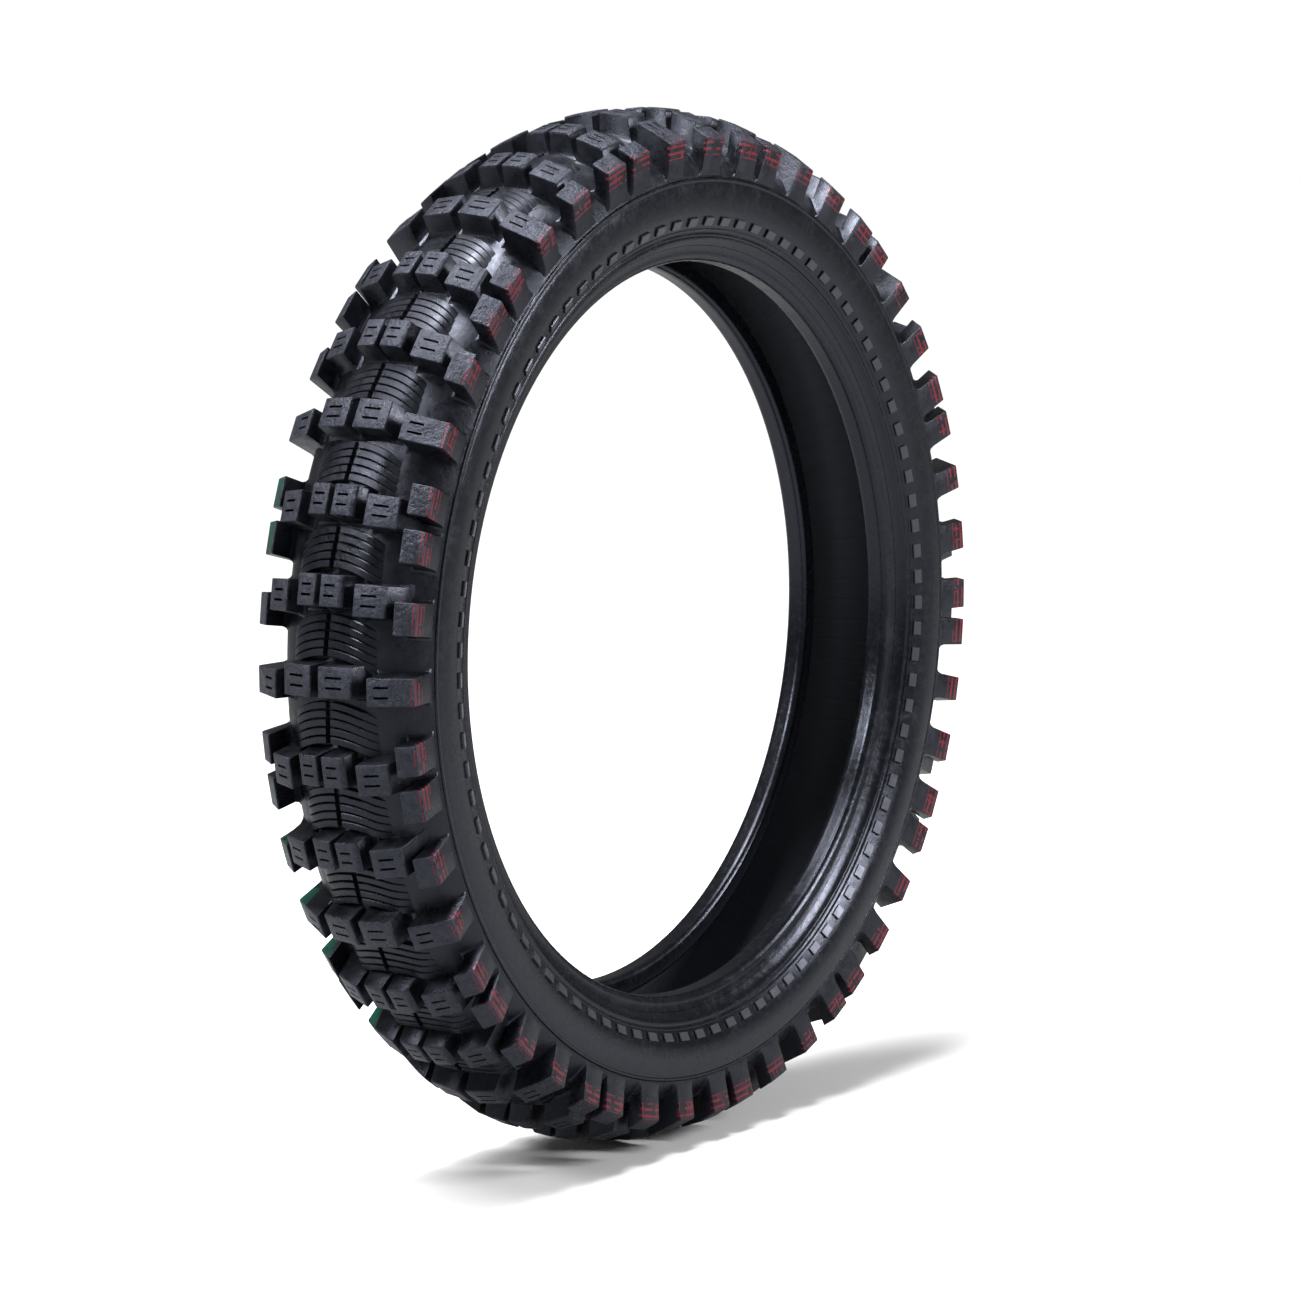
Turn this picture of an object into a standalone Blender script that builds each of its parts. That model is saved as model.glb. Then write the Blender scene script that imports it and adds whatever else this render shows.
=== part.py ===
"""Knobby off-road motorcycle tire, 19 inch rear size, unmounted.

The tire stands upright with its axle line along Y and its centre at the origin. Every piece is a ring
round that line. All of them are laid out in one section, drawn as (across, radius) pairs for the
+Y half: the casing line runs from the crown down the sidewall, round the bead core and up again, and
each layer lies at its own distance from it.
"""
import bmesh
import bpy
from math import cos, hypot, pi, radians, sin

# Driving dimensions, metres
TIRE_RADIUS = 0.338          # over the knob tips on the centre line
TIP_DROP = 0.020             # how much lower the shoulder tips lie than the crown tips
KNOB_HEIGHT = 0.0155         # crown tips above the tread floor
CASING_HALF_WIDTH = 0.0558   # outside of the sidewalls at their widest
KNOB_OVERHANG = 0.0042       # shoulder knob tips past the shoulder line
SHOULDER_KNOB_WIDTH = 0.011
SHOULDER_KNOB_INSET = 0.0006 # foot of a shoulder knob inside the shoulder line
BEAD_RADIUS = 0.239          # bead base, for a 482.6 mm rim seat
BEAD_TOE_HALF = 0.029        # centre line to the toe edge
BEAD_BASE_WIDTH = 0.0085     # flat part of the bead base
CORE_WIDTH = 0.005
CORE_HEIGHT = 0.005
FILLER_LENGTH = 0.017        # core to the filler's tip, along the casing
WRAP_RISE = 0.005            # bead wrap above the filler's foot
LINER_END = 0.003            # liner edge above the filler's foot
PLY_OUTER_END = 0.005        # each ply's end below the end of the casing line
PLY_INNER_END = 0.0012

# Thicknesses, metres
TREAD_FLOOR = 0.0032
UNDERTREAD = 0.0015
BREAKER = 0.0008
PLY = 0.0009
LINER = 0.0012
WRAP = 0.0005
CHAFER = 0.0006
SIDEWALL = 0.004
BASE_RUBBER = 0.0013         # rim strip under the bead
SIDE_RUBBER = 0.0011         # rim strip beside the bead
GAP = 0.0003                 # between neighbouring pieces

# Tread pattern: 13 repeats, each of one wide row and two narrow rows
REPEATS = 13
ROWS_PER_REPEAT = 3
FIRST_ROW_ANGLE = radians(14.1)
ROW_PITCH = 2 * pi / (REPEATS * ROWS_PER_REPEAT)
KNOB_LENGTH = radians(3.2)
SIDE_KNOB_LENGTH = radians(3.3)
OUTER_KNOB_LENGTH = radians(3.0)
SIDE_LAG = radians(0.7)      # outer knobs of a row sit a little behind its centre pair
KNOB_DRAFT = 0.0014          # how much wider a knob's foot is than its tip, each side
KNOB_ROOT = 0.0012           # how deep a knob's block reaches into the tread floor

# Knobs as (inner, outer) distances from the centre line
NARROW_ROW_CENTRE_KNOB = (0.0020, 0.0160)
NARROW_ROW_SIDE_KNOB = (0.0250, 0.0435)
WIDE_ROW_CENTRE_KNOB = (0.0030, 0.0250)
WIDE_ROW_OUTER_KNOB_AT = 0.0345
# Shoulder knobs that stand alone: degrees behind the wide row, and length in degrees
SHOULDER_KNOBS = ((8.2, 3.3), (13.2, 3.6), (20.8, 3.5))

SEGMENTS = 2 * REPEATS       # flats round every ring

# Shares of the casing's half width
SHOULDER_AT = 0.982
CROWN_EDGE_AT = 0.76
TREAD_HALF_WIDTH = SHOULDER_AT * CASING_HALF_WIDTH + KNOB_OVERHANG

# Distances of the layers from the casing line, towards the cavity (positive) and the road (negative)
PLY_OUTER_AT = GAP
PLY_INNER_AT = PLY_OUTER_AT + PLY + GAP
LINER_AT = PLY_INNER_AT + PLY + GAP
CHAFER_AT = LINER_AT
RIM_STRIP_AT = CHAFER_AT + CHAFER + GAP
BREAKER_LOWER_AT = -GAP
BREAKER_UPPER_AT = BREAKER_LOWER_AT - BREAKER - GAP
UNDERTREAD_AT = BREAKER_UPPER_AT - BREAKER - GAP
TREAD_AT = UNDERTREAD_AT - UNDERTREAD - GAP
WRAP_AT = -GAP
CORE_AT = WRAP_AT - WRAP - GAP


# Section geometry -----------------------------------------------------------------------------

def normals(points):
    """Unit normals of the segments, towards the cavity (to the right of the direction of travel)."""
    result = []
    for (y0, r0), (y1, r1) in zip(points, points[1:]):
        length = hypot(y1 - y0, r1 - r0)
        result.append(((r1 - r0) / length, (y0 - y1) / length))
    return result


def area(outline):
    """Signed area of a closed outline, positive when it runs anticlockwise."""
    pairs = zip(outline, outline[1:] + outline[:1])
    return sum(y0 * r1 - y1 * r0 for (y0, r0), (y1, r1) in pairs) / 2


def offset(points, distance):
    """A line parallel to another, with mitred corners."""
    sides = normals(points)
    before = [sides[0]] + sides
    after = sides + [sides[-1]]
    moved = []
    for (y, r), (ay, ar), (by, br) in zip(points, before, after):
        reach = distance / (1 + ay * by + ar * br)
        moved.append((y + (ay + by) * reach, r + (ar + br) * reach))
    return moved


def lengths(points):
    """Running length at each point."""
    total = [0.0]
    for (y0, r0), (y1, r1) in zip(points, points[1:]):
        total.append(total[-1] + hypot(y1 - y0, r1 - r0))
    return total


def stretch(points, start, end):
    """The part of a line between two running lengths."""
    at = lengths(points)

    def point(where):
        k = max(i for i in range(len(at) - 1) if at[i] <= where)
        share = (where - at[k]) / (at[k + 1] - at[k])
        return tuple(a + (b - a) * share for a, b in zip(points[k], points[k + 1]))

    inside = [p for p, where in zip(points, at) if start + GAP < where < end - GAP]
    return [point(start)] + inside + [point(end)]


def both_sides(half):
    """The half line and its mirror image as one line from bead to bead."""
    return [(-y, r) for y, r in reversed(half)] + half[1:]


def layer(line, near, far):
    """Closed outline between two parallels of a line."""
    return offset(line, near) + offset(line, far)[::-1]


def section_height():
    return TIRE_RADIUS - KNOB_HEIGHT - BEAD_RADIUS


def skin_point(across, up):
    """A point of the outer skin, as shares of the casing's half width and the section's height."""
    return (across * CASING_HALF_WIDTH, BEAD_RADIUS + up * section_height())


def skin_under_tread():
    """Tread floor from the centre line to the shoulder line."""
    shares = ((0, 1), (0.42, 0.965), (CROWN_EDGE_AT, 0.86), (SHOULDER_AT, 0.647))
    return [skin_point(across, up) for across, up in shares]


def skin_sidewall():
    """Sidewall from the shoulder line down to the bead."""
    shares = ((SHOULDER_AT, 0.642), (1.0, 0.52), (0.96, 0.36), (0.855, 0.21))
    return [skin_point(across, up) for across, up in shares]


def bead_middle():
    return BEAD_TOE_HALF + BEAD_BASE_WIDTH / 2


def casing_half():
    """Casing line of the +Y half, and its running lengths at the filler's foot and at the bead's end."""
    skin = skin_under_tread()
    crown = offset(both_sides(skin), -TREAD_AT + TREAD_FLOOR)[len(skin) - 1:-1]
    side = offset(skin_sidewall()[:3], SIDEWALL + GAP)[1:]
    reach = CORE_WIDTH / 2 - CORE_AT
    foot = BEAD_RADIUS + BASE_RUBBER + RIM_STRIP_AT
    top = foot - CORE_AT + CORE_HEIGHT
    inner, outer = bead_middle() - reach, bead_middle() + reach
    corner = reach * 0.55
    lean = (side[-1][0] - inner, side[-1][1] - top)
    around = [
        (inner, foot + corner),
        (inner + corner, foot),
        (outer - corner, foot),
        (outer, foot + corner),
    ]
    rise = (outer, top)
    length = FILLER_LENGTH / hypot(*lean)
    tip = (outer + lean[0] * length * 0.80, top + lean[1] * length)
    down = crown + side + [(inner, top)]
    return down + around + [rise, tip], lengths(down)[-1]


def tip_radius(across):
    """Radius of the knob tips at a distance from the centre line."""
    return TIRE_RADIUS - TIP_DROP * (across / TREAD_HALF_WIDTH) ** 2.2


def floor_radius(across):
    """Radius of the tread floor at a distance from the centre line."""
    skin = skin_under_tread()
    (y0, r0), (y1, r1) = next(pair for pair in zip(skin, skin[1:]) if across <= pair[1][0])
    return r0 + (r1 - r0) * (across - y0) / (y1 - y0)


def flatness(angle):
    """How far a ring's flats lie inside its corners at an angle, as a share of the radius."""
    half = pi / SEGMENTS
    return cos(half) / cos(angle % (2 * half) - half)


# Scene objects --------------------------------------------------------------------------------

def clear_scene():
    for item in list(bpy.data.objects):
        bpy.data.objects.remove(item, do_unlink=True)


def new_collection(name):
    group = bpy.data.collections.new(name)
    bpy.context.scene.collection.children.link(group)
    return group


def new_material(name, colour, roughness, metallic=0.0):
    material = bpy.data.materials.new(name)
    material.use_nodes = True
    shader = material.node_tree.nodes["Principled BSDF"]
    shader.inputs["Base Color"].default_value = (*colour, 1)
    shader.inputs["Roughness"].default_value = roughness
    shader.inputs["Metallic"].default_value = metallic
    return material


def ring(group, name, outline, material):
    """A closed outline turned round the axle line."""
    if area(outline) < 0:
        outline = outline[::-1]
    profile = bmesh.new()
    corners = [profile.verts.new((radius, across, 0)) for across, radius in outline]
    for first, second in zip(corners, corners[1:] + corners[:1]):
        profile.edges.new((first, second))
    mesh = bpy.data.meshes.new(name)
    profile.to_mesh(mesh)
    profile.free()
    mesh.materials.append(material)
    item = bpy.data.objects.new(name, mesh)
    group.objects.link(item)
    turn = item.modifiers.new("turn", "SCREW")
    turn.axis = "Y"
    turn.angle = 2 * pi
    turn.steps = turn.render_steps = SEGMENTS
    turn.use_merge_vertices = True
    turn.merge_threshold = 0.00001
    turn.use_smooth_shade = True
    return item


def mirrored_rings(group, name, outline, material):
    """The ring of the +Y half, and its twin on the -Y half."""
    ring(group, name + "_left", outline, material)
    ring(group, name + "_right", [(-y, r) for y, r in outline], material)


# Tread knobs ----------------------------------------------------------------------------------

def knob_foot(across, end):
    """Where a knob's foot lies under a tip station: in the tread floor, or at the shoulder line."""
    if across == TREAD_HALF_WIDTH:
        edge, radius = skin_under_tread()[-1]
        return edge - SHOULDER_KNOB_INSET, radius + SHOULDER_KNOB_INSET
    across += end * KNOB_DRAFT
    return across, floor_radius(across) - KNOB_ROOT


def add_knob(mesh, angle, length, inner, outer, side):
    """A drafted block from inside the tread floor up to the tips, bent where the floor bends."""
    bends = [across for across, _ in skin_under_tread() if inner < across < outer]
    if outer == TREAD_HALF_WIDTH:
        bends = bends[:-1]
    stations = [inner, *bends, outer]
    ends = [-1] + [0] * len(bends) + [1]
    rings = []
    for across, end in zip(stations, ends):
        foot, foot_radius = knob_foot(across, end)
        half, foot_half = length / 2, length / 2 + KNOB_DRAFT / TIRE_RADIUS
        corners = [(across, tip_radius(across), angle + sign * half) for sign in (-1, 1)]
        corners += [(foot, foot_radius * flatness(angle + sign * foot_half), angle + sign * foot_half)
                    for sign in (1, -1)]
        places = [(r * cos(turn), y * side, r * sin(turn)) for y, r, turn in corners]
        rings.append([mesh.verts.new(place) for place in places])
    for near, far in zip(rings, rings[1:]):
        for k in range(4):
            mesh.faces.new((near[k - 1], near[k], far[k], far[k - 1]))
    mesh.faces.new(rings[0])
    mesh.faces.new(rings[-1])


def narrow_row(mesh, angle, side):
    add_knob(mesh, angle, KNOB_LENGTH, *NARROW_ROW_CENTRE_KNOB, side)
    add_knob(mesh, angle + SIDE_LAG, SIDE_KNOB_LENGTH, *NARROW_ROW_SIDE_KNOB, side)


def wide_row(mesh, angle, side):
    add_knob(mesh, angle, KNOB_LENGTH, *WIDE_ROW_CENTRE_KNOB, side)
    outer_span = (WIDE_ROW_OUTER_KNOB_AT, TREAD_HALF_WIDTH)
    add_knob(mesh, angle + SIDE_LAG, OUTER_KNOB_LENGTH, *outer_span, side)


def shoulder_knobs(mesh, angle, side):
    inner = TREAD_HALF_WIDTH - SHOULDER_KNOB_WIDTH
    for behind, length in SHOULDER_KNOBS:
        add_knob(mesh, angle + radians(behind), radians(length), inner, TREAD_HALF_WIDTH, side)


def knob_blocks(group):
    mesh = bmesh.new()
    for repeat in range(REPEATS):
        angle = FIRST_ROW_ANGLE + repeat * ROWS_PER_REPEAT * ROW_PITCH
        for side in (1, -1):
            wide_row(mesh, angle, side)
            for row in range(1, ROWS_PER_REPEAT):
                narrow_row(mesh, angle + row * ROW_PITCH, side)
            shoulder_knobs(mesh, angle, side)
    bmesh.ops.recalc_face_normals(mesh, faces=mesh.faces)
    data = bpy.data.meshes.new("knob_blocks")
    mesh.to_mesh(data)
    mesh.free()
    item = bpy.data.objects.new("knob_blocks", data)
    item.hide_render = True
    item.display_type = "WIRE"
    group.objects.link(item)
    return item


# Pieces ---------------------------------------------------------------------------------------

def make_tread(group, cutters, rubber):
    floor = skin_under_tread()
    tread = ring(group, "tread", layer(both_sides(floor), 0, TREAD_FLOOR), rubber)
    join = tread.modifiers.new("knobs", "BOOLEAN")
    join.operation = "UNION"
    join.object = knob_blocks(cutters)


def crown_edge(line):
    """Running length of the casing line under the edge of the crown."""
    return lengths(line)[2]


def make_crown_strips(group, line, rubber, fabric):
    strips = (
        ("undertread", UNDERTREAD_AT, UNDERTREAD, 0.97, rubber),
        ("breaker_upper", BREAKER_UPPER_AT, BREAKER, 0.78, fabric),
        ("breaker_lower", BREAKER_LOWER_AT, BREAKER, 0.90, fabric),
    )
    for name, at, thickness, share, material in strips:
        strip = both_sides(stretch(line, 0, crown_edge(line) * share))
        ring(group, name, layer(strip, at - thickness, at), material)


def make_casing(group, line, filler_foot, fabric, rubber):
    end = lengths(line)[-1]
    plies = (("ply_outer", PLY_OUTER_AT, PLY_OUTER_END), ("ply_inner", PLY_INNER_AT, PLY_INNER_END))
    for name, at, short in plies:
        path = both_sides(stretch(line, 0, end - short))
        ring(group, name, layer(path, at, at + PLY), fabric)
    path = both_sides(stretch(line, 0, filler_foot - LINER_END))
    ring(group, "inner_liner", layer(path, LINER_AT, LINER_AT + LINER), rubber)


def make_beads(group, line, filler_foot, fabric, rubber, steel):
    at = lengths(line)
    end = at[-1]
    loop = stretch(line, filler_foot - WRAP_RISE, end - FILLER_LENGTH * 0.7)
    mirrored_rings(group, "bead_wrap", layer(loop, WRAP_AT - WRAP, WRAP_AT), fabric)
    cup = offset(line, CORE_AT)
    first = at.index(filler_foot)
    (left, top), right = cup[first], cup[first + 5][0]
    core = [(left, top - GAP)] + cup[first + 1:first + 5] + [(right, top - GAP)]
    mirrored_rings(group, "bead_core", core, steel)
    inner_side = offset(stretch(line, filler_foot - FILLER_LENGTH, filler_foot), CORE_AT)
    outer_side = offset(stretch(line, at[first + 5], end - 0.001), CORE_AT)
    filler = inner_side[:-1] + [(left, top), (right, top)] + outer_side
    mirrored_rings(group, "bead_filler", filler, rubber)


def make_rim_seats(group, line, filler_foot, fabric, rubber):
    end = lengths(line)[-1]
    start = filler_foot - LINER_END + 2 * GAP
    stop = end - FILLER_LENGTH * 0.75
    chafer = stretch(line, start, stop)
    mirrored_rings(group, "chafer", layer(chafer, CHAFER_AT, CHAFER_AT + CHAFER), fabric)
    cup = offset(stretch(line, start, stop), RIM_STRIP_AT)
    half = CORE_WIDTH / 2 - CORE_AT + RIM_STRIP_AT + SIDE_RUBBER
    toe, heel = BEAD_TOE_HALF, BEAD_TOE_HALF + BEAD_BASE_WIDTH
    inner, outer = bead_middle() - half, bead_middle() + half
    skin = [
        (outer + 0.0016, cup[-1][1] - 0.0006),
        (outer, BEAD_RADIUS + 0.0045),
        (heel, BEAD_RADIUS + 0.0004),
        (toe, BEAD_RADIUS),
        (inner, BEAD_RADIUS + 0.0040),
        (inner, cup[0][1] - 0.0036),
        (cup[0][0] - 0.0008, cup[0][1]),
    ]
    mirrored_rings(group, "rim_strip", cup + skin, rubber)
    return skin[0], stop


def make_sidewalls(group, line, filler_foot, strip_top, chafer_top, rubber):
    edge = crown_edge(line)
    inner_start = edge * 0.90 + 2 * GAP
    tongue = offset(stretch(line, inner_start, edge), UNDERTREAD_AT + GAP)
    inside = offset(stretch(line, inner_start, filler_foot - FILLER_LENGTH - 0.003), -GAP)
    flap = offset(stretch(line, chafer_top + 2 * GAP, lengths(line)[-1]), LINER_AT)
    foot = (strip_top[0] + 0.0004, strip_top[1] + 0.0008)
    under_tread = offset(skin_under_tread(), TREAD_FLOOR + GAP)[2:]
    under_tread[1] = (under_tread[1][0], under_tread[1][1] - GAP)
    outline = [foot] + skin_sidewall()[::-1] + under_tread[::-1] + tongue[::-1] + inside + flap[::-1]
    mirrored_rings(group, "sidewall", outline, rubber)


def main():
    clear_scene()
    group = new_collection("motorcycle_tire")
    cutters = new_collection("cutters")
    tread_rubber = new_material("tread_rubber", (0.028, 0.029, 0.032), 0.62)
    side_rubber = new_material("side_rubber", (0.024, 0.025, 0.028), 0.5)
    base_rubber = new_material("base_rubber", (0.05, 0.045, 0.04), 0.7)
    liner_rubber = new_material("liner_rubber", (0.02, 0.021, 0.024), 0.45)
    fabric = new_material("cord_fabric", (0.38, 0.33, 0.24), 0.8)
    steel = new_material("bead_wire", (0.55, 0.47, 0.34), 0.35, 1.0)
    line, filler_foot = casing_half()
    make_tread(group, cutters, tread_rubber)
    make_crown_strips(group, line, base_rubber, fabric)
    make_casing(group, line, filler_foot, fabric, liner_rubber)
    make_beads(group, line, filler_foot, fabric, base_rubber, steel)
    strip_top, chafer_top = make_rim_seats(group, line, filler_foot, fabric, side_rubber)
    make_sidewalls(group, line, filler_foot, strip_top, chafer_top, side_rubber)


main()
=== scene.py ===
from math import cos, pi, radians, sin

import bmesh
import bpy
import numpy as np
from mathutils import Matrix, Vector


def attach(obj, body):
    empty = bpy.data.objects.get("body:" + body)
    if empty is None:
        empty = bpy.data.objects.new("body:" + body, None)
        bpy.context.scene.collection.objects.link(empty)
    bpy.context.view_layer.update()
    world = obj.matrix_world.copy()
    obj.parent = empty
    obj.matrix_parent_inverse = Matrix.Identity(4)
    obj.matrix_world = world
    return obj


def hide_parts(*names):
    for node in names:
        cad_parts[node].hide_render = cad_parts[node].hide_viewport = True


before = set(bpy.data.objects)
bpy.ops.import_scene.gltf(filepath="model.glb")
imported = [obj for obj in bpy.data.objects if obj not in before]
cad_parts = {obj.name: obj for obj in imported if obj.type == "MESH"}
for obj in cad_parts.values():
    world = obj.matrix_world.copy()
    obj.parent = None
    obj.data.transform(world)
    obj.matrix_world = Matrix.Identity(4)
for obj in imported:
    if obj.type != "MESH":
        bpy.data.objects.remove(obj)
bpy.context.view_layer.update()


# Stage -----------------------------------------------------------------------------------------
# The tire stands upright on a pale studio floor, seen from the road side and a little from above.
# A wide daylight lamp and three softboxes light it, and the floor throws back less than it shows.
EYE_PLACE = (-2.1427, -1.4913, 0.2973)
EYE_TURN, EYE_DROP = radians(-55.28), radians(6.84)
EYE_LENS, EYE_SENSOR = 110.8, 36
FLOOR_LEVEL, FLOOR_REACH = -0.3385, 30
FLOOR_SEEN, FLOOR_BOUNCE = 1.0, 0.34
WALL_LIGHT = 0.13
DAYLIGHT = ((-0.6, 0.3, 2.0), 3.1, radians(40))
SOFTBOXES = (
    ("overhead", (-0.4, 0.0, 1.9), 0.8, 0.8, 50),
    ("left", (-2.2, 0.9, 1.5), 0.7, 0.7, 34),
    ("front_right", (1.0, -2.05, 0.95), 0.4, 1.1, 46),
)

eye = bpy.data.objects.new("eye", bpy.data.cameras.new("eye"))
eye.data.lens, eye.data.sensor_width = EYE_LENS, EYE_SENSOR
eye.location = EYE_PLACE
eye.rotation_euler = (pi / 2 - EYE_DROP, 0, EYE_TURN)
bpy.context.scene.collection.objects.link(eye)
bpy.context.scene.camera = eye


def seen_directly(tree, otherwise):
    """A value that is 1 for what the eye sees directly, and another one for light that bounces."""
    path = tree.nodes.new("ShaderNodeLightPath")
    value = tree.nodes.new("ShaderNodeMapRange")
    value.inputs["To Min"].default_value = otherwise
    tree.links.new(path.outputs["Is Camera Ray"], value.inputs["Value"])
    return value


def pale_floor():
    material = bpy.data.materials.new("pale_floor")
    material.use_nodes = True
    shader = material.node_tree.nodes["Principled BSDF"]
    shader.inputs["Roughness"].default_value = 0.9
    shader.inputs["Specular IOR Level"].default_value = 0
    tone = seen_directly(material.node_tree, FLOOR_BOUNCE)
    tone.inputs["To Max"].default_value = FLOOR_SEEN
    material.node_tree.links.new(tone.outputs[0], shader.inputs["Base Color"])
    return material


sheet = bmesh.new()
bmesh.ops.create_grid(sheet, x_segments=1, y_segments=1, size=FLOOR_REACH)
bmesh.ops.translate(sheet, verts=sheet.verts, vec=(0, 0, FLOOR_LEVEL))
floor_mesh = bpy.data.meshes.new("studio_floor")
sheet.to_mesh(floor_mesh)
sheet.free()
floor = bpy.data.objects.new("studio_floor", floor_mesh)
floor.data.materials.append(pale_floor())
bpy.context.scene.collection.objects.link(floor)

world = bpy.data.worlds.new("studio")
world.use_nodes = True
glow = world.node_tree.nodes["Background"]
glow.inputs["Color"].default_value = (1, 1, 1, 1)
world.node_tree.links.new(seen_directly(world.node_tree, WALL_LIGHT).outputs[0], glow.inputs["Strength"])
bpy.context.scene.world = world
bpy.context.scene.view_settings.view_transform = "Standard"


def aimed(name, kind, place, power):
    """A lamp that points at the tire's centre."""
    lamp = bpy.data.objects.new(name, bpy.data.lights.new(name, kind))
    lamp.data.energy = power
    lamp.location = place
    lamp.rotation_euler = (-Vector(place)).to_track_quat("-Z", "Y").to_euler()
    bpy.context.scene.collection.objects.link(lamp)
    return lamp.data


place, power, spread = DAYLIGHT
aimed("daylight", "SUN", place, power).angle = spread
for name, place, width, height, power in SOFTBOXES:
    lamp = aimed(name, "AREA", place, power)
    lamp.shape, lamp.size, lamp.size_y = "ELLIPSE", width, height


# Wire beads ------------------------------------------------------------------------------------
# The two hoops that hold the tire on the rim: bronze-coated steel wire wound into a bundle.
# They are cured inside the rubber, each with a fabric wrap and a hard rubber filler above it.
STEPS_ROUND = 182
WIRE_STRANDS = 5200
CORDS_ROUND, CORDS_ACROSS = 420, 900


class Wire:
    """A socket in a material's node tree. Sums with it add Math nodes."""

    def __init__(self, tree, socket=None):
        self.tree, self.socket = tree, socket

    def node(self, kind, inputs, output=0, **settings):
        made = self.tree.nodes.new("ShaderNode" + kind)
        for name, value in settings.items():
            setattr(made, name, value)
        for name, value in inputs.items():
            if isinstance(value, Wire):
                self.tree.links.new(value.socket, made.inputs[name])
            else:
                made.inputs[name].default_value = value
        return Wire(self.tree, made.outputs[output])

    def math(self, operation, *others):
        return self.node("Math", dict(enumerate((self, *others))), operation=operation)

    def __add__(self, other):
        return self.math("ADD", other)

    def __sub__(self, other):
        return self.math("SUBTRACT", other)

    def __rsub__(self, other):
        return self.node("Math", {0: other, 1: self}, operation="SUBTRACT")

    def __mul__(self, other):
        return self.math("MULTIPLY", other)

    def __gt__(self, other):
        return self.math("GREATER_THAN", other)

    def __lt__(self, other):
        return self.math("LESS_THAN", other)

    __radd__, __rmul__ = __add__, __mul__

    def noise(self, scale, detail=3, roughness=0.5):
        inputs = {"Vector": self, "Scale": scale, "Detail": detail, "Roughness": roughness}
        return self.node("TexNoise", inputs)

    def ramp(self, low, high):
        """0 below low, 1 above high, even between."""
        return self.node("MapRange", {"Value": self, "From Min": low, "From Max": high}, clamp=True)

    def blend(self, share, first, second):
        """A colour between two, by a share."""
        inputs = {"Factor": share, 6: first, 7: second}
        return self.node("Mix", inputs, output=2, data_type="RGBA")


def shaded(name, paint, metallic=0.0, sheen=(1, 1, 1, 1)):
    """A material whose changing sockets are given by paint(place), in the object's coordinates."""
    material = bpy.data.materials.new(name)
    material.use_nodes = True
    tree = material.node_tree
    shader = tree.nodes["Principled BSDF"]
    shader.inputs["Metallic"].default_value = metallic
    shader.inputs["Specular Tint"].default_value = sheen
    place = Wire(tree).node("TexCoord", {}, output=3)
    for socket, value in paint(place).items():
        tree.links.new(value.socket, shader.inputs[socket])
    return material


def bumped(height, depth):
    return height.node("Bump", {"Height": height, "Strength": 1.0, "Distance": depth})


def polar(place):
    """Distance across, radius, and turn round the axle in radians."""
    x, y, z = (place.node("SeparateXYZ", {0: place}, output=k) for k in range(3))
    return y, (x * x + z * z).math("SQRT"), z.math("ARCTAN2", x)


def show(name, mesh, material, nodes, sharp=40):
    """Turns a bmesh into a finished piece that stands for CAD nodes."""
    bmesh.ops.recalc_face_normals(mesh, faces=mesh.faces)
    data = bpy.data.meshes.new(name)
    mesh.to_mesh(data)
    mesh.free()
    data.materials.append(material)
    data.shade_smooth()
    data.set_sharp_from_angle(angle=radians(sharp))
    piece = bpy.data.objects.new(name, data)
    bpy.context.scene.collection.objects.link(piece)
    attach(piece, "root")
    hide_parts(*nodes)


def spin_round(mesh, steps=STEPS_ROUND):
    """Turns the outline in a bmesh once round the axle line."""
    bmesh.ops.spin(mesh, geom=mesh.verts[:] + mesh.edges[:], cent=(0, 0, 0), axis=(0, 1, 0),
                   angle=2 * pi, steps=steps, use_merge=True)


def section_of(node):
    """The closed outline of a turned CAD node, where it crosses the front half-plane."""
    mesh = bmesh.new()
    mesh.from_mesh(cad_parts[node].data)
    bmesh.ops.remove_doubles(mesh, verts=mesh.verts, dist=1e-6)
    off = [v for v in mesh.verts if abs(v.co.z) > 1e-5 or v.co.x < 0]
    bmesh.ops.delete(mesh, geom=off, context="VERTS")
    return mesh


def rounded(node, material):
    """A truly round copy of a faceted CAD ring."""
    mesh = section_of(node)
    spin_round(mesh)
    show(node + "_round", mesh, material, [node])


def wire_paint(place):
    across, radius, _ = polar(place)
    strands = (across * WIRE_STRANDS).math("SINE") * (radius * WIRE_STRANDS).math("SINE")
    shade = place.noise(60) * 0.5 + strands * 0.2
    return {
        "Base Color": place.blend(shade, (0.30, 0.20, 0.10, 1), (0.62, 0.50, 0.32, 1)),
        "Roughness": 0.3 + shade * 0.25,
        "Normal": bumped(strands, 0.0004),
    }


def cord_paint(place):
    across, _, turn = polar(place)
    cords = (turn * CORDS_ROUND + across * CORDS_ACROSS).math("SINE")
    rub = place.noise(35)
    shade = cords * 0.3 + rub * 0.6
    return {
        "Base Color": place.blend(shade, (0.16, 0.13, 0.09, 1), (0.42, 0.36, 0.26, 1)),
        "Roughness": 0.75 + rub * 0.15,
        "Normal": bumped(cords, 0.0003),
    }


def hard_rubber_paint(place):
    mottle = place.noise(90, 5)
    return {
        "Base Color": place.blend(mottle, (0.020, 0.018, 0.016, 1), (0.055, 0.050, 0.045, 1)),
        "Roughness": 0.6 + mottle * 0.2,
        "Normal": bumped(place.noise(900), 0.0002),
    }


bronze_wire = shaded("bronze_wire", wire_paint, metallic=1.0)
rubbered_cord = shaded("rubbered_cord", cord_paint)
hard_rubber = shaded("hard_rubber", hard_rubber_paint)
for side in ("left", "right"):
    rounded("bead_core_" + side, bronze_wire)
    rounded("bead_wrap_" + side, rubbered_cord)
    rounded("bead_filler_" + side, hard_rubber)


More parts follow.
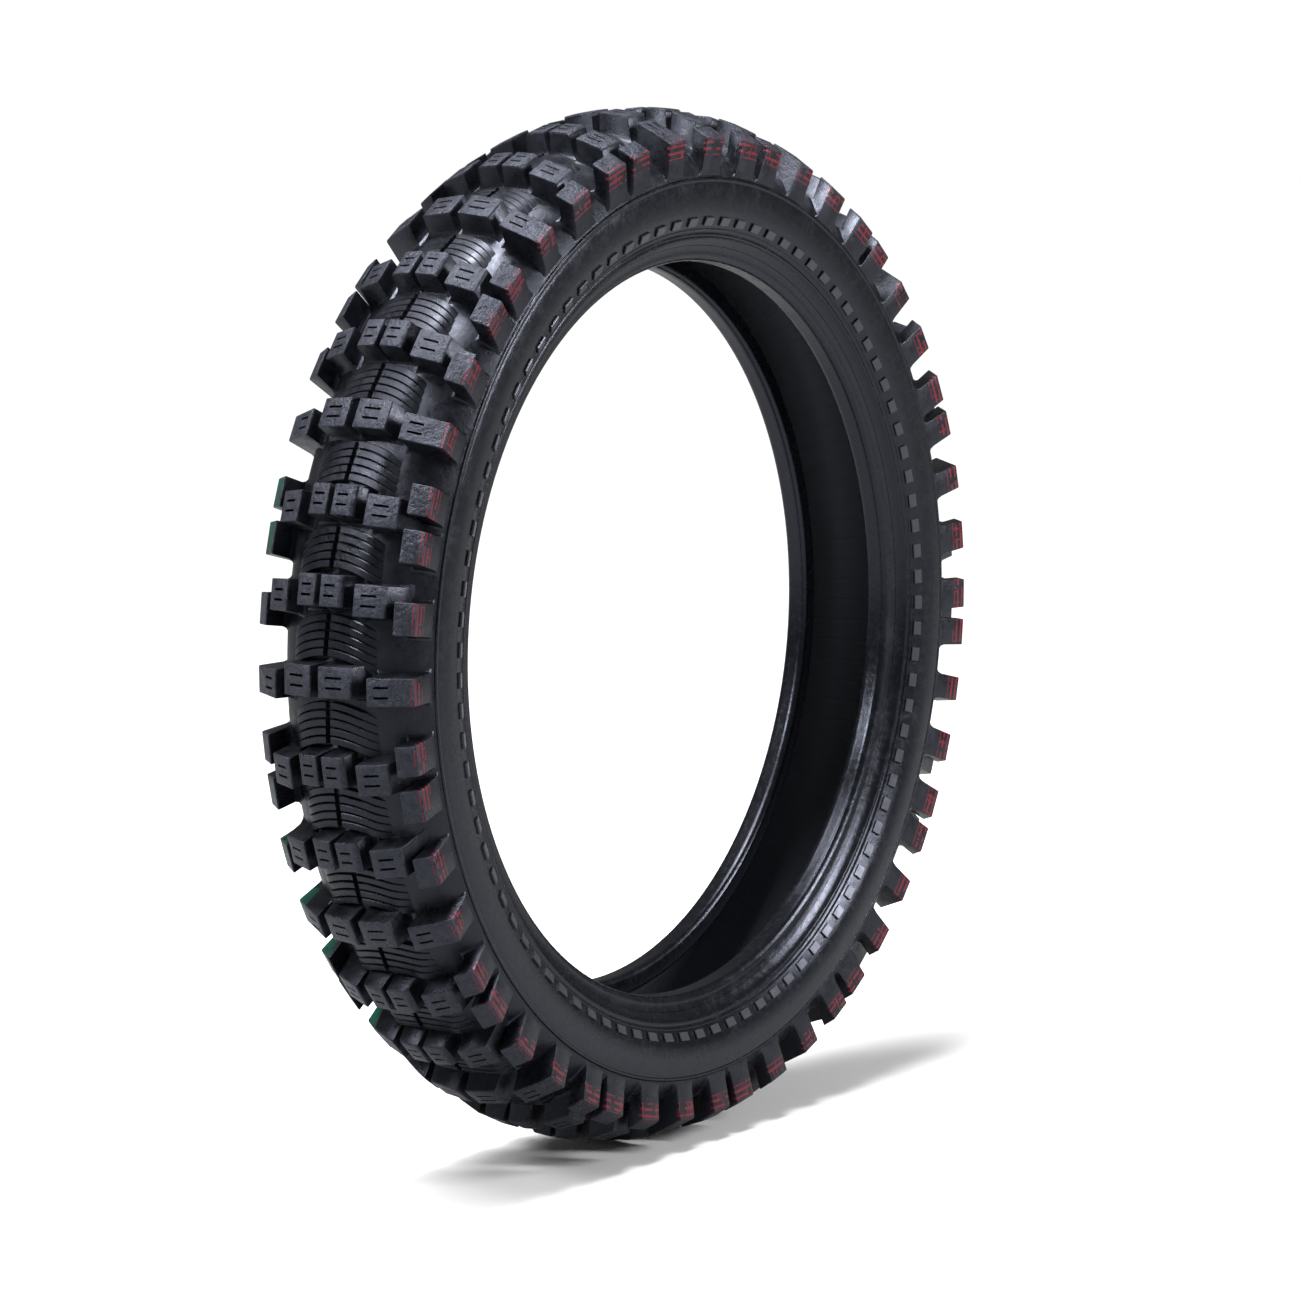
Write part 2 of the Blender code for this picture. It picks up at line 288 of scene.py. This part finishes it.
# Casing plies and breakers ---------------------------------------------------------------------
# Two layers of rubber-coated cord run from bead to bead and turn up round the wires, and a strip of
# fabric guards each bead. Two breaker layers and a sheet of soft rubber lie under the tread.
for node in ("ply_outer", "ply_inner", "breaker_upper", "breaker_lower"):
    rounded(node, rubbered_cord)
for side in ("left", "right"):
    rounded("chafer_" + side, rubbered_cord)
rounded("undertread", hard_rubber)


# Inner liner -----------------------------------------------------------------------------------
# Smooth dark rubber that faces the inner tube, pressed in the mould by a rubber bladder.
# Its face shows faint ribs left by the bladder's venting lines.
MM = 0.001
BLUISH = (0.74, 0.79, 1.0, 1)
LINER_RIBS = 130
LINER_FACE = (
    (29.4, 252.7), (33.5, 257.0), (38, 261.6), (42.5, 266.3), (45.3, 271.5), (46.5, 278), (45.8, 284),
    (42.5, 291.5), (37.5, 298), (30, 302.8), (20, 306.6), (10, 308.4), (0, 309.0),
)
LINER_BACK = (
    (29.85, 254.03), (46.81, 271.06), (48.63, 282.0), (35.56, 302.74), (20.6, 309.65), (0, 312.2),
)


def curve_through(points, steps=4):
    """Points of a smooth line through the given ones, both ends kept."""
    ends = [points[0], *points, points[-1]]
    line = []
    for group in zip(ends, ends[1:], ends[2:], ends[3:]):
        p0, p1, p2, p3 = (np.array(point) for point in group)
        slope, bend, twist = p2 - p0, 2 * p0 - 5 * p1 + 4 * p2 - p3, 3 * (p1 - p2) + p3 - p0
        for step in range(steps):
            t = step / steps
            line.append(tuple(p1 + 0.5 * t * (slope + t * (bend + t * twist))))
    return line + [points[-1]]


def both_halves(points):
    return [*points, *((-y, r) for y, r in reversed(points[:-1]))]


def turned(outline, side=1, steps=STEPS_ROUND):
    """A ring from a closed outline of (across, radius) in millimetres."""
    mesh = bmesh.new()
    corners = [mesh.verts.new((r * MM, y * MM * side, 0)) for y, r in outline]
    for first, second in zip(corners, corners[1:] + corners[:1]):
        mesh.edges.new((first, second))
    spin_round(mesh, steps)
    return mesh


def liner_paint(place):
    turn = polar(place)[2]
    ribs = (turn * LINER_RIBS).math("SINE").ramp(0.75, 1.0)
    cloud = place.noise(9, 4)
    return {
        "Base Color": place.blend(cloud, (0.048, 0.050, 0.058, 1), (0.080, 0.084, 0.096, 1)),
        "Roughness": 0.45 + cloud * 0.2,
        "Normal": bumped(ribs * 0.5 + place.noise(700) * 0.5, 0.0004),
    }


liner_rubber = shaded("liner_rubber", liner_paint, sheen=BLUISH)
liner = turned(both_halves(curve_through(LINER_FACE)) + both_halves(LINER_BACK)[::-1])
show("liner_skin", liner, liner_rubber, ["inner_liner"], sharp=60)


# Rim strips ------------------------------------------------------------------------------------
# The rubber round each bead, with a flat base for the rim seat, a rounded toe and heel, and a smooth
# hollow flank that the rim's flange presses on. The sidewalls are the same rubber, with the pad tops
# painted paler as a painted highlight.
BEAD_SKIN = (
    (43.15, 249.3), (42.3, 247.2), (41.75, 245.2), (41.5, 243.6), (41.0, 242.2), (40.1, 240.9),
    (38.9, 239.9), (37.4, 239.35), (34.5, 239.2), (31.5, 239.1), (29.3, 239.05), (27.4, 239.5),
    (25.9, 240.7), (25.05, 242.5), (24.9, 245), (24.9, 248), (25.2, 250.6), (26.6, 252.8), (28.1, 254.24),
)
BEAD_CUP = (
    (28.79, 254.2), (26.05, 251.49), (26.05, 244.39), (30.14, 240.3), (36.36, 240.3),
    (40.45, 244.39), (40.45, 248.74), (41.32, 249.83),
)
LATHE_LINES = 9000
PAD_RISE = 0.0007
PAD_RING = (0.2612, 0.2685)
WALL_AT_PADS = (0.0505, 0.262, 0.45)


def pad_tops_highlight(across, radius):
    """1 on the tops of the pads, which stand out of the slanting wall and are painted paler as a painted
    highlight.
    """
    wall_across, wall_radius, slant = WALL_AT_PADS
    wall = (radius - wall_radius) * slant + wall_across
    raised = across.math("ABSOLUTE") - wall > PAD_RISE
    return raised * (radius > PAD_RING[0]) * (radius < PAD_RING[1])


def side_rubber_paint(place):
    across, radius, _ = polar(place)
    cloud = place.noise(14, 4)
    dust = place.noise(240, 4, 0.7).ramp(0.45, 0.8)
    scuff = place.noise(55, 3, 0.6).ramp(0.5, 0.75)
    lathe = (radius * LATHE_LINES).math("SINE")
    shade = cloud * 0.4 + dust * 0.5
    black = place.blend(shade, (0.001, 0.0011, 0.0015, 1), (0.014, 0.015, 0.020, 1))
    return {
        # The pad tops are painted paler: a painted highlight for the light they catch.
        "Base Color": place.blend(pad_tops_highlight(across, radius), black, (0.055, 0.057, 0.066, 1)),
        "Roughness": 0.16 + cloud * 0.1 + scuff * 0.12 + dust * 0.1,
        "Normal": bumped(dust * 0.3 + place.noise(1400) * 0.1 + lathe * 0.05, 0.0002),
    }


side_rubber = shaded("side_rubber", side_rubber_paint, sheen=BLUISH)
for side, way in (("left", 1), ("right", -1)):
    strip = turned(curve_through(BEAD_SKIN, 3) + list(BEAD_CUP), way)
    show("rim_strip_skin_" + side, strip, side_rubber, ["rim_strip_" + side], sharp=50)


# Sidewalls -------------------------------------------------------------------------------------
# The flank from the tread edge to the rim strip: one smooth bulge with a raised line where the rim
# ends, a ring of small moulded pads above it, and a rounded step under the shoulder knobs.
WALL_SKIN = (
    (54.8, 292.6), (55.5, 292.3), (55.75, 291.2), (55.3, 289.9), (55.6, 288), (55.8, 284), (55.75, 279.5),
    (55.2, 275), (54.3, 271), (53.2, 268), (51.9, 265), (50.5, 262), (49.75, 260.6), (49.7, 260),
    (49.0, 259.4), (48.3, 258.2), (48.2, 257.0), (48.5, 256.3), (48.1, 255.4), (47.0, 254.6),
    (45.6, 253.2), (44.2, 251.2), (43.3, 249.55),
)
WALL_BACK = (
    (41.3, 250.15), (48.56, 260.37), (43.97, 263.96), (49.61, 269.62), (51.78, 282.63), (37.62, 305.09),
    (34.53, 306.52), (35.32, 308.25), (38.34, 306.85), (40.08, 308.03), (51.92, 290.72),
)
PADS = 91
PAD_SIZE = (0.0092, 0.0022, 0.0058)
PAD_PLACE = (52.2, 264.8)
PAD_LEAN = radians(28)
PAD_CHAMFER = 0.0003


def bevel(mesh, edges, width, segments):
    bmesh.ops.bevel(mesh, geom=edges, offset=width, affect="EDGES", segments=segments,
                    profile=0.5, material=-1)


def copy_into(mesh, part):
    """Moves the shape of one bmesh into another."""
    scratch = bpy.data.meshes.new("scratch")
    part.to_mesh(scratch)
    part.free()
    mesh.from_mesh(scratch)
    bpy.data.meshes.remove(scratch)


def repeat_round(mesh, count):
    """Repeats what is in a bmesh evenly round the axle line, up to a count."""
    bmesh.ops.spin(mesh, geom=mesh.faces[:], cent=(0, 0, 0), axis=(0, 1, 0), use_duplicate=True,
                   angle=2 * pi * (count - 1) / count, steps=count - 1)


def add_pads(mesh, way):
    pads = bmesh.new()
    bmesh.ops.create_cube(pads, size=1)
    bmesh.ops.scale(pads, vec=PAD_SIZE, verts=pads.verts)
    lid = [edge for edge in pads.edges if all(v.co.y > 0 for v in edge.verts)]
    bevel(pads, lid, PAD_CHAMFER, 1)
    bmesh.ops.rotate(pads, verts=pads.verts, matrix=Matrix.Rotation(-PAD_LEAN, 3, "X"))
    bmesh.ops.translate(pads, verts=pads.verts, vec=(0, PAD_PLACE[0] * MM, PAD_PLACE[1] * MM))
    bmesh.ops.scale(pads, vec=(1, way, 1), verts=pads.verts)
    repeat_round(pads, PADS)
    copy_into(mesh, pads)


for side, way in (("left", 1), ("right", -1)):
    wall = turned(curve_through(WALL_SKIN, 3) + list(WALL_BACK), way)
    add_pads(wall, way)
    show("sidewall_skin_" + side, wall, side_rubber, ["sidewall_" + side], sharp=30)


# Tread -----------------------------------------------------------------------------------------
# Thirteen repeats of one moulded pattern. Each has a wide row of knobs that reaches the shoulders,
# two narrow rows, three shoulder knobs a side, and low curved ribs on the floor between the rows.
# The pattern is laid out flat, with the slots cut in the knobs, then wrapped round and repeated.
REPEATS = 13
ROWS = 3
CROWN = 0.338
HALF_WIDTH = 0.059
TIP_DROP, TIP_CURVE = 0.020, 2.2
ROW_STEP = CROWN * 2 * pi / (ROWS * REPEATS)
FIRST_ROW = radians(14.1)
DEGREE = CROWN * pi / 180
FLOOR_STEPS = 16 * REPEATS
FLOOR_LINE = (
    (0, 322.5), (9, 322.1), (18, 321), (26, 319.0), (33, 316.3), (39, 312.9), (44, 308.9),
    (48, 304.4), (51, 300.0), (53.2, 296.2), (54.5, 293.6), (54.8, 293.02),
)
FLOOR_BACK = ((0, 319.28), (22.55, 316.46), (40.28, 308.27), (52.17, 291.2))

# Knobs: height, root in the floor, rounded edges, and how the foot spreads
KNOB_HEIGHT, KNOB_ROOT, KNOB_ROUND = 0.0155, 0.001, 0.0007
KNOB_TAPER, KNOB_FLARE, FLARE_SHARE = 0.0012, 0.0022, 0.22
FLARE_CUTS = (0.0012, 0.0035)
SHOULDER_FOOT = 0.0543
LID_SLOPE = 0.0022
# Across the tread (from, to), and along it in degrees: how far behind the row, and how long
WIDE_CENTRE_KNOB = ((0.0030, 0.0250), 0, 3.2)
WIDE_OUTER_KNOB = ((0.0345, HALF_WIDTH), 0.8, 3.0)
NARROW_CENTRE_KNOB = ((0.0020, 0.0172), 0, 3.2)
NARROW_SIDE_KNOB = ((0.0250, 0.0435), 0.75, 3.3)
SHOULDER_KNOB_FROM = 0.0480
SHOULDER_KNOBS = ((8.2, 3.3), (13.2, 3.6), (20.8, 3.5))
# Slots in the knob tops, two a knob
SLOT_WIDTH, SLOT_DEPTH, SLOTS_APART = 0.0015, 0.005, 0.0062
WIDE_CENTRE_SLOTS = (0.0085, 0.0195)
WIDE_OUTER_SLOTS = (0.0385, 0.0465)
NARROW_CENTRE_SLOTS = (0.0050, 0.0125)
NARROW_SIDE_SLOTS = (0.0295, 0.0385)
# Ribs: each a little higher than the one before, and sunk into the floor at its outer end
RIBS, FIRST_RIB, RIB_PITCH = 5, 0.0160, 0.0054
RIB_BEND, RIB_WIDTH, RIB_EDGE, RIB_ROOT = 0.054, 0.0044, 0.0004, 0.0008
RIB_HEIGHT, RIB_GROWTH = 0.0026, 0.0005
RIB_FROM, RIB_TO, RIB_STEPS = 0.0018, 0.034, 9
RIB_FADE_FROM, RIB_FADE = 0.022, 0.010

floor_y, floor_r = (np.array(values) * MM for values in zip(*FLOOR_LINE))


def floor_radius(across):
    return float(np.interp(abs(across), floor_y, floor_r))


def tip_radius(across):
    return CROWN - TIP_DROP * (abs(across) / HALF_WIDTH) ** TIP_CURVE


def spread_foot(part, middle, length, inner, outer, side, shoulder):
    """Widens a straight block towards its foot. A shoulder knob's outer face leans in instead."""
    width = outer - inner
    for vert in part.verts:
        up = vert.co.z / KNOB_HEIGHT
        spread = KNOB_TAPER * (1 - up) + KNOB_FLARE * max(0, 1 - up / FLARE_SHARE) ** 2
        along, over = vert.co.x - middle, (vert.co.y - inner) / width
        vert.co.x = middle + along * (1 + spread / (length / 2))
        if shoulder:
            vert.co.y += -spread * (1 - over) - (HALF_WIDTH - SHOULDER_FOOT) * (1 - up) * over
        else:
            vert.co.y += spread * (2 * over - 1)
        vert.co.y *= side


def add_block(mesh, row, knob, side, shoulder=False, slope=0):
    """A knob in the flat layout: x along the tread from its row, y across it, z up from the floor."""
    (inner, outer), behind, degrees = knob
    middle, length = row * ROW_STEP + behind * DEGREE, degrees * DEGREE
    part = bmesh.new()
    bmesh.ops.create_cube(part, size=1)
    size = (length, outer - inner, KNOB_HEIGHT + KNOB_ROOT)
    bmesh.ops.scale(part, vec=size, verts=part.verts)
    place = (middle, (inner + outer) / 2, (KNOB_HEIGHT - KNOB_ROOT) / 2)
    bmesh.ops.translate(part, verts=part.verts, vec=place)
    top = KNOB_HEIGHT - 1e-5
    if slope:
        lid = [edge for edge in part.edges if all(v.co.z > top for v in edge.verts)]
        bevel(part, [edge for edge in lid if all(v.co.y > outer - 0.001 for v in edge.verts)], slope, 1)
    sides = [edge for edge in part.edges if abs(edge.verts[0].co.z - edge.verts[1].co.z) > 0.001]
    lid = [edge for edge in part.edges if all(v.co.z > top for v in edge.verts)]
    bevel(part, sides + lid, KNOB_ROUND, 2)
    for height in FLARE_CUTS:
        bmesh.ops.bisect_plane(part, geom=part.verts[:] + part.edges[:] + part.faces[:],
                               plane_co=(0, 0, height), plane_no=(0, 0, 1))
    spread_foot(part, middle, length, inner, outer, side, shoulder)
    copy_into(mesh, part)


def add_slots(mesh, row, knob, span, side):
    """Two short cuts across a knob's top."""
    inner, outer = span
    middle = row * ROW_STEP + knob[1] * DEGREE
    for along in (-SLOTS_APART / 2, SLOTS_APART / 2):
        part = bmesh.new()
        bmesh.ops.create_cube(part, size=1)
        bmesh.ops.scale(part, vec=(SLOT_WIDTH, outer - inner, 2 * SLOT_DEPTH), verts=part.verts)
        place = (middle + along, side * (inner + outer) / 2, KNOB_HEIGHT)
        bmesh.ops.translate(part, verts=part.verts, vec=place)
        copy_into(mesh, part)


def add_rib(mesh, start, height, side):
    """A low curved rib on the tread floor, bowed along the tread."""
    half = RIB_WIDTH / 2
    section = (
        (-half - RIB_EDGE, -RIB_ROOT), (-half, height - RIB_EDGE), (-half + RIB_EDGE, height),
        (half - RIB_EDGE, height), (half, height - RIB_EDGE), (half + RIB_EDGE, -RIB_ROOT),
    )
    part = bmesh.new()
    face = part.faces.new([part.verts.new((start + along, 0, up)) for along, up in section])
    centre = (start + RIB_BEND, 0, 0)
    begin, end = RIB_FROM / RIB_BEND, RIB_TO / RIB_BEND
    bmesh.ops.rotate(part, verts=part.verts, cent=centre, matrix=Matrix.Rotation(-begin, 3, "Z"))
    bmesh.ops.spin(part, geom=[face], cent=centre, axis=(0, 0, 1), angle=begin - end, steps=RIB_STEPS)
    for vert in part.verts:
        faded = min(1, max(0, abs(vert.co.y) - RIB_FADE_FROM) / RIB_FADE)
        vert.co.z -= (height + 0.001) * faded ** 2
    bmesh.ops.scale(part, vec=(1, side, 1), verts=part.verts)
    copy_into(mesh, part)


def flat_knobs():
    """The knobs of one repeat, and the slots to cut in them."""
    knobs, slots = bmesh.new(), bmesh.new()
    for side in (1, -1):
        add_block(knobs, 0, WIDE_CENTRE_KNOB, side)
        add_slots(slots, 0, WIDE_CENTRE_KNOB, WIDE_CENTRE_SLOTS, side)
        add_block(knobs, 0, WIDE_OUTER_KNOB, side, shoulder=True)
        add_slots(slots, 0, WIDE_OUTER_KNOB, WIDE_OUTER_SLOTS, side)
        for row in range(1, ROWS):
            add_block(knobs, row, NARROW_CENTRE_KNOB, side, slope=LID_SLOPE)
            add_slots(slots, row, NARROW_CENTRE_KNOB, NARROW_CENTRE_SLOTS, side)
            add_block(knobs, row, NARROW_SIDE_KNOB, side)
            add_slots(slots, row, NARROW_SIDE_KNOB, NARROW_SIDE_SLOTS, side)
        for behind, length in SHOULDER_KNOBS:
            add_block(knobs, 0, ((SHOULDER_KNOB_FROM, HALF_WIDTH), behind, length), side, shoulder=True)
    return knobs, slots


def flat_ribs():
    ribs = bmesh.new()
    for side in (1, -1):
        for row in range(ROWS):
            for step in range(RIBS):
                start = row * ROW_STEP + FIRST_RIB + step * RIB_PITCH
                add_rib(ribs, start, RIB_HEIGHT + RIB_GROWTH * step, side)
    return ribs


def temporary(name, mesh):
    data = bpy.data.meshes.new(name)
    bmesh.ops.recalc_face_normals(mesh, faces=mesh.faces)
    mesh.to_mesh(data)
    mesh.free()
    item = bpy.data.objects.new(name, data)
    bpy.context.scene.collection.objects.link(item)
    return item


def cut_slots(knobs, slots):
    """The knobs with the slots taken out. Their feet overlap, so the cut treats them as one body."""
    block_item, slot_item = temporary("blocks", knobs), temporary("slots", slots)
    cut = block_item.modifiers.new("cut", "BOOLEAN")
    cut.operation, cut.object, cut.use_self = "DIFFERENCE", slot_item, True
    graph = bpy.context.evaluated_depsgraph_get()
    pattern = bmesh.new()
    pattern.from_mesh(bpy.data.meshes.new_from_object(block_item.evaluated_get(graph)))
    for item in (block_item, slot_item):
        bpy.data.objects.remove(item, do_unlink=True)
    return pattern


def wrap(mesh):
    """Bends the flat layout round the tire, from the floor's curve to the tips' curve."""
    for vert in mesh.verts:
        along, across, up = vert.co
        floor_at = floor_radius(across)
        share = up / KNOB_HEIGHT
        radius = floor_at + (tip_radius(across) - floor_at) * share if up > 0 else floor_at + up
        turn = FIRST_ROW + along / CROWN
        vert.co = (radius * cos(turn), across, radius * sin(turn))


pattern = cut_slots(*flat_knobs())
copy_into(pattern, flat_ribs())
wrap(pattern)
repeat_round(pattern, REPEATS)
tread = turned(both_halves(FLOOR_LINE[::-1]) + both_halves(FLOOR_BACK[::-1])[::-1], steps=FLOOR_STEPS)
copy_into(tread, pattern)

TIP_WEAR_AND_SHEEN_DEPTH = 0.0015
RED_FROM_ACROSS, RED_RADII = 0.0560, (0.3070, 0.3190)
GREEN_FROM_ACROSS, GREEN_FROM_RADIUS = 0.0500, 0.3060


def on_tips(across, radius):
    """1 on the tops of the knobs, which follow the tips' curve; they are painted lighter, partly for wear
    and partly as a painted highlight.
    """
    outward = across.math("ABSOLUTE") * (1 / HALF_WIDTH)
    return outward.math("POWER", TIP_CURVE) * TIP_DROP + radius - (CROWN - TIP_WEAR_AND_SHEEN_DEPTH) > 0


def red_strokes(place, across, radius, turn):
    """Broken lines round the tire, with short ticks across them, on the ends of the right knobs."""
    along = place.node("CombineXYZ", {0: turn * 46, 1: radius * 90, 2: across * 20})
    lines = ((radius * 1500).math("SINE") > 0.35) * (along.noise(1, 2) > 0.44)
    beside = place.node("CombineXYZ", {0: turn * 190, 1: radius * 60, 2: across * 20})
    strokes = lines.math("MAXIMUM", beside.noise(1, 2) > 0.63)
    return strokes * (radius > RED_RADII[0]) * (radius < RED_RADII[1]) * (across < -RED_FROM_ACROSS)


def green_dabs(place, across, radius):
    """Dabs of paint on the ends of some of the left knobs."""
    ends = (across > GREEN_FROM_ACROSS) * (radius > GREEN_FROM_RADIUS)
    return ends * (place.noise(9, 1) > 0.56) * (place.noise(120) > 0.42)


def tread_paint(place):
    across, radius, turn = polar(place)
    cloud = place.noise(22, 4)
    mould = place.noise(230, 5, 0.7).ramp(0.3, 0.7)
    dirt = place.noise(70, 4, 0.6).ramp(0.42, 0.72)
    tip_wear_and_sheen = on_tips(across, radius)
    # The knob tops are painted lighter and bluer: partly real wear, partly a painted highlight for the
    # light on them.
    shade = cloud * 0.3 + mould * 0.2 + dirt * 0.3 + tip_wear_and_sheen * (mould * 0.3 + 0.1)
    colour = place.blend(shade, (0.0015, 0.0016, 0.002, 1), (0.017, 0.018, 0.024, 1))
    colour = place.blend(tip_wear_and_sheen * mould * 0.7, colour, (0.045, 0.048, 0.064, 1))
    colour = place.blend(red_strokes(place, across, radius, turn), colour, (0.19, 0.012, 0.020, 1))
    colour = place.blend(green_dabs(place, across, radius), colour, (0.004, 0.055, 0.034, 1))
    grain = mould * (tip_wear_and_sheen * 0.32 + 0.06) + dirt * (tip_wear_and_sheen * 0.3 + 0.05) + place.noise(1500) * 0.06
    return {
        "Base Color": colour,
        "Roughness": 0.20 + dirt * 0.18 + mould * 0.18,
        "Normal": bumped(grain, 0.0016),
    }


tread_rubber = shaded("tread_rubber", tread_paint, sheen=BLUISH)
show("tread_skin", tread, tread_rubber, ["tread"], sharp=25)
